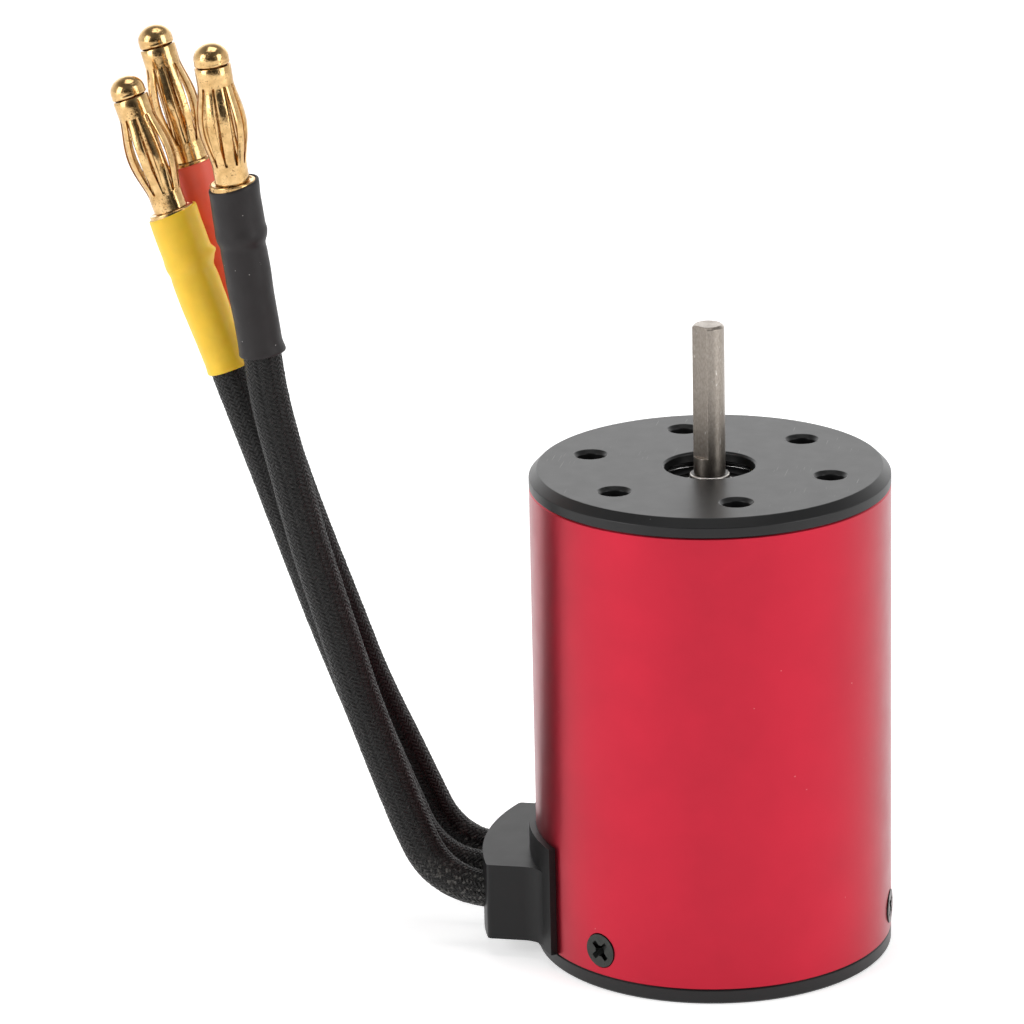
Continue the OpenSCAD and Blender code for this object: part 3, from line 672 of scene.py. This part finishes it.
def shrink_sleeve(colour, seed, flare, pinch, fullness, lean, lean_turn):
    """Heat-shrink over the lead and the solder cup: a low part, a ridge where the cup's mouth shows
    through, and an upper part, with the small waves that shrinking by hand leaves."""
    low = -last_leg(colour) / MM
    top = SLEEVE_TOP
    wall = SLEEVE_WALL
    outline = []
    for k in range(SLEEVE_STEPS + 1):
        z = low + (top - low) * k / SLEEVE_STEPS
        r = 2.22 + 0.04 * smoothstep(low + 2, low + 9, z)
        r += 0.27 * smoothstep(-1.0, -0.05, z) - 0.03 * swell(z, -1.15, 0.35)
        r += 0.06 * swell(z, 0.35, 0.45)
        r -= 0.03 * smoothstep(2.0, 4.5, z)
        r += 0.06 * swell(z, low, 0.5)
        outline.append((r, z))
    rim = bead(outline[-1][0] - wall / 2, top, wall / 2, 0, 180, 5)[1:-1]
    foot = bead(outline[0][0] - wall / 2, low, wall / 2, 180, 360, 5)[1:-1]
    inner = [(r - wall, z) for r, z in reversed(outline[::3])]
    inner[0] = (inner[0][0], top)
    profile = [(r * MM, z * MM) for r, z in (*outline, *rim, *inner, *foot)]

    def wobble(r, z, a):
        spot = Vector((math.cos(a) * 1.1, math.sin(a) * 1.1, z / mm(2.6) + seed))
        soft = mm(0.05) * noise.noise(spot)
        fine = mm(0.012) * noise.noise(spot * 4.3)
        h = z / MM
        foot_flare = mm(flare) * swell(h, low, 0.7) * max(0, math.cos(a - 0.2)) ** 3
        knot = mm(pinch) * swell(h, 0.45, 0.34) * max(0, math.cos(a - 0.15)) ** 5
        waist = -mm(pinch) * 0.30 * swell(h, -0.9, 0.8) * max(0, math.cos(a - 0.15)) ** 2
        back = (1 - smoothstep(-1.4, 0.2, h)) * smoothstep(low + 0.5, -2.5, h) * max(0, -math.cos(a))
        return soft + fine + foot_flare + knot + waist + mm(fullness) * back

    points, faces = lathe(profile, SLEEVE_SIDES, wobble)
    # the cut rim isn't quite square, and stands off the cup where it is highest
    for p in points:
        high = smoothstep(mm(top - 1.6), mm(top), p.z) * math.cos(math.atan2(p.y, p.x) - lean_turn)
        p.z += mm(lean) * high
        out = 1 + 0.055 * max(0.0, high) * lean / 0.3
        p.x, p.y = p.x * out, p.y * out
    place = end_frame(colour)
    return new_piece(f"shrink_{colour}_sleeve", [place @ p for p in points], faces,
                     [f"shrink_{colour}"], replaces=(f"shrink_{colour}",))


def turned_pin(colour, profile):
    """A turned solid whose profile starts and ends on the axis."""
    count = PIN_SIDES
    inner = profile[1:-1]
    points, faces = lathe([(r * MM, z * MM) for r, z in inner], count, closed=False)
    base, tip = len(points), len(points) + 1
    points += [Vector((0, 0, profile[0][1] * MM)), Vector((0, 0, profile[-1][1] * MM))]
    last = (len(inner) - 1) * count
    faces += [(base, (k + 1) % count, k) for k in range(count)]
    faces += [(tip, last + k, last + (k + 1) % count) for k in range(count)]
    place = end_frame(colour)
    return new_piece(f"bullet_pin_{colour}_turned", [place @ p for p in points], faces, ["gold_plate"],
                     replaces=(f"bullet_pin_{colour}",))


def bullet_pin(colour):
    """Solder cup with a rolled lip, core pin and domed tip."""
    profile = [
        (0, 4.5), (1.5, 4.5), (1.65, 4.4), (1.65, 0.1), (1.7, 0), (2.2, 0),
        *bead(2.2, 0.1, 0.1, -90, 0, 3)[1:], (2.3, 3.0),
        *bead(2.17, 5.47, 0.13, 0, 90, 4),
        (2.02, 5.6), (1.94, 5.56), (1.86, 5.5), (1.32, 5.5), (1.3, 5.6),
        (1.3, 17.55), (1.4, 17.6), (1.58, 17.61),
        *bead(1.60, 17.78, 0.17, -90, -8, 6)[1:], (1.768, 17.86), (1.745, 17.95), (1.752, 18.06),
        *[(1.755 * math.cos(math.radians(a)), 18.15 + 1.55 * math.sin(math.radians(a)) ** 0.94)
          for a in range(2, 90, 4)],
        (0, 19.7),
    ]
    return turned_pin(colour, profile)


BLADES = 10
BLADE_COLUMNS = 6
BLADE_W = mm(0.80)
SLOT_LOW = mm(7.5)
SLOT_HIGH = mm(15.6)
BLADE_T = mm(0.26)


def basket_radius(z):
    """Outside radius of the spring basket, in metres, at height z above the cup's mouth."""
    t = (z / MM - 7.4) / 8.2
    if t <= 0:
        return mm(1.72)
    if t >= 1:
        return mm(1.8)
    return mm(1.72 + 0.08 * t + 0.69 * math.sin(math.pi * t) ** 1.35)


def bullet_spring(colour, turn):
    """Spring basket rolled from sheet: two collars joined by bowed blades with rounded slots between."""
    rounding = [math.radians(90 * k / 4) for k in range(5)]
    half = mm(0.16)
    ends = [(half * (1 - math.cos(a)), math.sin(a)) for a in rounding]
    rows = [(mm(5.58), 0), (mm(5.62), 0), (mm(6.4), 0), (mm(7.0), 0)]
    rows += [(SLOT_LOW + d, g) for d, g in ends]
    inner = 30
    low, high = SLOT_LOW + half, SLOT_HIGH - half
    rows += [(low + (high - low) * k / inner, 1) for k in range(1, inner)]
    rows += [(SLOT_HIGH - d, g) for d, g in reversed(ends)]
    rows += [(mm(15.9), 0), (mm(16.6), 0), (mm(17.4), 0), (mm(17.48), 0)]
    rows = [(z, g * (math.tau * basket_radius(z) / BLADES - BLADE_W)) for z, g in rows]
    work = bmesh.new()

    def wall_grid(inset):
        grid = []
        for z, gap in rows:
            r = basket_radius(z) - inset
            if not inset and (z < mm(5.6) or z > mm(17.45)):
                r -= mm(0.05)
            bow = smoothstep(mm(8), mm(10.5), z) * (1 - smoothstep(mm(12.8), mm(15), z))
            row = []
            for blade in range(BLADES):
                centre = math.tau * blade / BLADES + turn
                reach = math.pi / BLADES - gap / 2 / r
                for c in range(BLADE_COLUMNS + 1):
                    u = c / BLADE_COLUMNS * 2 - 1
                    a = centre + u * reach
                    flat = math.cos(reach) / math.cos(u * reach)
                    edge = mm(0.035) if abs(u) == 1 and not inset and gap else 0
                    rr = r * (1 + 0.6 * bow * (flat - 1)) - edge
                    row.append(work.verts.new((rr * math.cos(a), rr * math.sin(a), z)))
            grid.append(row)
        return grid

    outer, inside = wall_grid(0), wall_grid(BLADE_T)
    per = BLADE_COLUMNS + 1
    for i in range(len(rows) - 1):
        for blade in range(BLADES):
            for c in range(BLADE_COLUMNS):
                a = blade * per + c
                work.faces.new((outer[i][a], outer[i][a + 1], outer[i + 1][a + 1], outer[i + 1][a]))
                work.faces.new((inside[i][a], inside[i + 1][a], inside[i + 1][a + 1], inside[i][a + 1]))
            if rows[i][1] or rows[i + 1][1]:
                a, b = blade * per, blade * per + BLADE_COLUMNS
                work.faces.new((outer[i][a], outer[i + 1][a], inside[i + 1][a], inside[i][a]))
                work.faces.new((outer[i + 1][b], outer[i][b], inside[i][b], inside[i + 1][b]))
    for i, flip in ((0, False), (len(rows) - 1, True)):
        for blade in range(BLADES):
            for c in range(BLADE_COLUMNS):
                a = blade * per + c
                loop = (outer[i][a + 1], outer[i][a], inside[i][a], inside[i][a + 1])
                work.faces.new(loop[::-1] if flip else loop)
    bmesh.ops.remove_doubles(work, verts=work.verts, dist=mm(0.002))
    bmesh.ops.recalc_face_normals(work, faces=work.faces)
    place = end_frame(colour)
    work.verts.index_update()
    points = [place @ v.co for v in work.verts]
    faces = [[v.index for v in f.verts] for f in work.faces]
    work.free()
    piece = new_piece(f"bullet_spring_{colour}_rolled", points, faces, ["gold_plate"],
                      replaces=(f"bullet_spring_{colour}",))
    piece.data.set_sharp_from_angle(angle=math.radians(40))
    return piece


def make_leads():
    """Every lead with its sleeve and connector."""
    for colour in ROUTES:
        lead, path = braided_lead(colour)
        carried = [
            shrink_sleeve(colour, *SLEEVE_SHAPES[colour]),
            bullet_pin(colour),
            bullet_spring(colour, SPRING_TURNS[colour]),
            frame["nodes"]["lead_cores"],
        ]


# ---------------------------------------------------------------- CAD nodes
EDGE_ROUNDS = {
    "can": mm(0.06), "front_plate": mm(0.07), "rear_cap": mm(0.07), "rear_cap_screws": mm(0.04),
    "cable_boot": mm(0.26), "shaft": mm(0.04), "front_bearing_outer_ring": mm(0.14),
    "front_bearing_inner_ring": mm(0.12), "rear_bearing_outer_ring": mm(0.14),
    "rear_bearing_inner_ring": mm(0.12),
}


def finish_cad_nodes():
    slots = {p["node"]: p["material_slot"] for p in frame["record"]["subparts"]}
    for name, node in frame["nodes"].items():
        for place in node.material_slots:
            place.material = material(slots[name])
    for name, width in EDGE_ROUNDS.items():
        softened(name, width)


# ---------------------------------------------------------------- studio
# the sky's grey at places from the camera's side to behind the motor, and from the horizon up
SKY_STRENGTH = 2.1
SKY_AROUND = ((0.0, 0.02), (0.05, 0.04), (0.16, 0.24), (0.5, 0.38), (0.82, 0.56), (0.96, 1.0))
SKY_UPWARD = ((0.0, 1.0), (0.42, 0.9), (0.65, 0.36), (1.0, 0.18))
FLOOR_SIZE = 8
FLOOR_GLOW = 0.52  # keeps the shadow faint
FLOOR_DROP = mm(0.02)
SOFTBOXES = {  # place from the motor's middle, size, watts
    "softbox_left": ((-0.75, -0.66, 0.36), (0.55, 0.8), 5.0),
    "softbox_right": ((0.95, -0.32, 0.36), (0.5, 0.8), 4.1),
    "top": ((0.0, 0.1, 0.95), (0.6, 0.6), 2.7),
}


def area_light(name, place, aim, size, power):
    data = bpy.data.lights.new(name, "AREA")
    data.shape = "RECTANGLE"
    data.size, data.size_y = size
    data.energy = power
    light = bpy.data.objects.new(name, data)
    bpy.context.scene.collection.objects.link(light)
    light.location = place
    light.rotation_mode = "QUATERNION"
    light.rotation_quaternion = (Vector(aim) - Vector(place)).to_track_quat("-Z", "Y")


def sky(tree):
    """Pale walls: bright behind the motor, dim beside the camera, darker overhead."""
    def node(kind):
        return tree.nodes.new(kind)

    def ramp(source, low, high, stops):
        spread = node("ShaderNodeMapRange")
        spread.inputs["From Min"].default_value = low
        spread.inputs["From Max"].default_value = high
        tree.links.new(source, spread.inputs["Value"])
        made = node("ShaderNodeValToRGB")
        tree.links.new(spread.outputs["Result"], made.inputs["Fac"])
        while len(made.color_ramp.elements) < len(stops):
            made.color_ramp.elements.new(0.5)
        for element, (place, grey) in zip(made.color_ramp.elements, stops):
            element.position = place
            element.color = (grey, grey, grey, 1)
        return made.outputs["Color"]

    place = node("ShaderNodeMapping")
    place.inputs["Rotation"].default_value = (0, 0, math.radians(-CAMERA_AZIMUTH))
    tree.links.new(node("ShaderNodeTexCoord").outputs["Generated"], place.inputs["Vector"])
    split = node("ShaderNodeSeparateXYZ")
    tree.links.new(place.outputs["Vector"], split.inputs["Vector"])
    around = ramp(split.outputs["Y"], -1, 1, SKY_AROUND)
    upward = ramp(split.outputs["Z"], 0, 1, SKY_UPWARD)
    both = node("ShaderNodeMix")
    both.data_type = "RGBA"
    both.blend_type = "MULTIPLY"
    both.inputs["Factor"].default_value = 1
    first, second = [s for s in both.inputs if s.type == "RGBA"]
    tree.links.new(around, first)
    tree.links.new(upward, second)
    return [s for s in both.outputs if s.type == "RGBA"][0]


def make_studio():
    scene = bpy.context.scene
    scene.view_settings.view_transform = "Standard"
    world = bpy.data.worlds.new("studio")
    scene.world = world
    world.use_nodes = True
    ground = world.node_tree.nodes["Background"]
    ground.inputs["Strength"].default_value = SKY_STRENGTH
    world.node_tree.links.new(sky(world.node_tree), ground.inputs["Color"])

    bpy.ops.mesh.primitive_plane_add(size=FLOOR_SIZE, location=(0, 0, cad_low.z - FLOOR_DROP))
    floor = bpy.context.object
    floor.name = "floor"
    n = Nodes("floor_paper")
    n.colour(n.mix(n.spread(n.noise(0.3), 0.3, 0.7), (0.93, 0.93, 0.93), (0.96, 0.96, 0.96)))
    n.set(Roughness=0.8, Specular_IOR_Level=0.2, Emission_Color=(1, 1, 1),
          Emission_Strength=FLOOR_GLOW)
    floor.data.materials.append(n.material)

    middle = (cad_low + cad_high) / 2
    for name, (place, size, power) in SOFTBOXES.items():
        area_light(name, middle + Vector(place), middle, size, power)


make_camera()
make_leads()
finish_cad_nodes()
make_studio()
